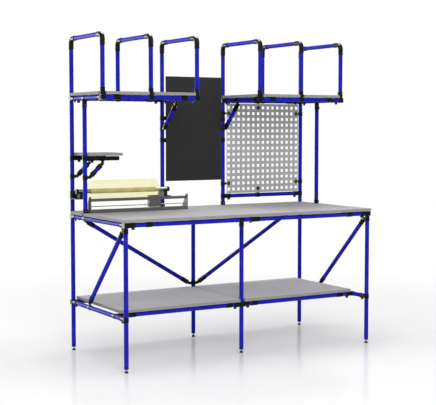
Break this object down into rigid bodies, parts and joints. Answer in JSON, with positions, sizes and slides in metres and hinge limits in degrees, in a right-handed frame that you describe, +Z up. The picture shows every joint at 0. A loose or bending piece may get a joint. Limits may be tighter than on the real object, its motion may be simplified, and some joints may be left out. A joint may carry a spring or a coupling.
{
  "type": "packing table",
  "caption": "Free-standing packing table of clamped tube with shelves, upright dividers, perforated panel, film roll and bench cutter.",
  "frame": {"origin": "on the floor, in the middle of the table's box", "axes": "+X along the table to the right as seen from the front, +Y from the front to the back, +Z up"},
  "size_m": [1.838, 0.828, 2.0423],
  "materials": {
    "blue_tube": "semi-gloss plastic coat on steel tube",
    "black_clamp": "gloss black coat",
    "zinc_steel": "black zinc plate",
    "black_plastic": "matte moulded",
    "foot_black": "matte moulded",
    "grey_laminate": "grey laminate on chipboard",
    "dark_board": "matte dark",
    "panel_grey": "grey powder coat",
    "core_card": "light kraft card, wound",
    "black_tube": "black plastic coat on steel tube",
    "roll_film": "translucent film",
    "cutter_grey": "dark grey coat",
    "bright_steel": "bright"
  },
  "bodies": {
    "frame": {"back_braces": "blue_tube", "back_posts": "blue_tube", "board": "dark_board", "board_clips": "black_clamp", "board_screws": "zinc_steel", "brace_clamps": "black_clamp", "brace_pivots": "zinc_steel", "brace_sleeves": "black_clamp", "clamp_bolts": "zinc_steel", "clamp_nuts": "zinc_steel", "cross_rails": "blue_tube", "cutter_base": "cutter_grey", "cutter_end_plates": "cutter_grey", "cutter_guide_bar": "cutter_grey", "cutter_hold_rod": "bright_steel", "divider_elbows": "black_clamp", "divider_top_bars": "blue_tube", "divider_uprights": "blue_tube", "foot_inserts": "black_plastic", "front_legs": "blue_tube", "inner_posts": "blue_tube", "lower_clamps": "black_clamp", "lower_long_rails": "blue_tube", "lower_shelves": "grey_laminate", "lower_side_rails": "blue_tube", "middle_legs": "blue_tube", "panel_clips": "black_clamp", "panel_rail": "blue_tube", "perforated_panel": "panel_grey", "roll_brackets": "black_clamp", "shelf_brackets": "blue_tube", "shelf_clips": "black_clamp", "side_braces": "blue_tube", "side_shelf": "grey_laminate", "side_shelf_arms": "black_tube", "side_shelf_struts": "blue_tube", "side_uprights": "blue_tube", "tube_caps": "black_plastic", "upper_back_rails": "blue_tube", "upper_clamps": "black_clamp", "upper_end_rails": "blue_tube", "upper_front_rails": "blue_tube", "upper_shelves": "grey_laminate", "worktop": "grey_laminate", "worktop_clamps": "black_clamp", "worktop_long_rails": "blue_tube", "worktop_side_rails": "blue_tube"},
    "front_left_foot": {"front_left_foot": "foot_black"},
    "front_right_foot": {"front_right_foot": "foot_black"},
    "front_middle_foot": {"front_middle_foot": "foot_black"},
    "back_left_foot": {"back_left_foot": "foot_black"},
    "back_middle_foot": {"back_middle_foot": "foot_black"},
    "back_right_foot": {"back_right_foot": "foot_black"},
    "roll": {"roll_shaft": "bright_steel", "shaft_caps": "black_plastic", "roll_core": "core_card", "film_roll": "roll_film"},
    "carriage": {"cutter_carriage": "cutter_grey", "blade_pin": "bright_steel"},
    "blade": {"cutter_blade": "bright_steel"}
  },
  "joints": [
    {"name": "front_left_foot_screw", "type": "slide", "parent": "frame", "child": "front_left_foot", "axis": [0, 0, 1], "range_m": [-0.02, 0.006]},
    {"name": "front_right_foot_screw", "type": "slide", "parent": "frame", "child": "front_right_foot", "axis": [0, 0, 1], "range_m": [-0.02, 0.006]},
    {"name": "front_middle_foot_screw", "type": "slide", "parent": "frame", "child": "front_middle_foot", "axis": [0, 0, 1], "range_m": [-0.02, 0.006]},
    {"name": "back_left_foot_screw", "type": "slide", "parent": "frame", "child": "back_left_foot", "axis": [0, 0, 1], "range_m": [-0.02, 0.006]},
    {"name": "back_middle_foot_screw", "type": "slide", "parent": "frame", "child": "back_middle_foot", "axis": [0, 0, 1], "range_m": [-0.02, 0.006]},
    {"name": "back_right_foot_screw", "type": "slide", "parent": "frame", "child": "back_right_foot", "axis": [0, 0, 1], "range_m": [-0.02, 0.006]},
    {"name": "roll_spin", "type": "hinge", "parent": "frame", "child": "roll", "pos_m": [-0.57, 0.32, 1.044], "axis": [1, 0, 0], "continuous": true},
    {"name": "carriage_slide", "type": "slide", "parent": "frame", "child": "carriage", "axis": [1, 0, 0], "range_m": [-0.405, 0.19]},
    {"name": "blade_spin", "type": "hinge", "parent": "carriage", "child": "blade", "pos_m": [-0.422, 0.162, 0.9505], "axis": [0, 1, 0], "continuous": true}
  ]
}
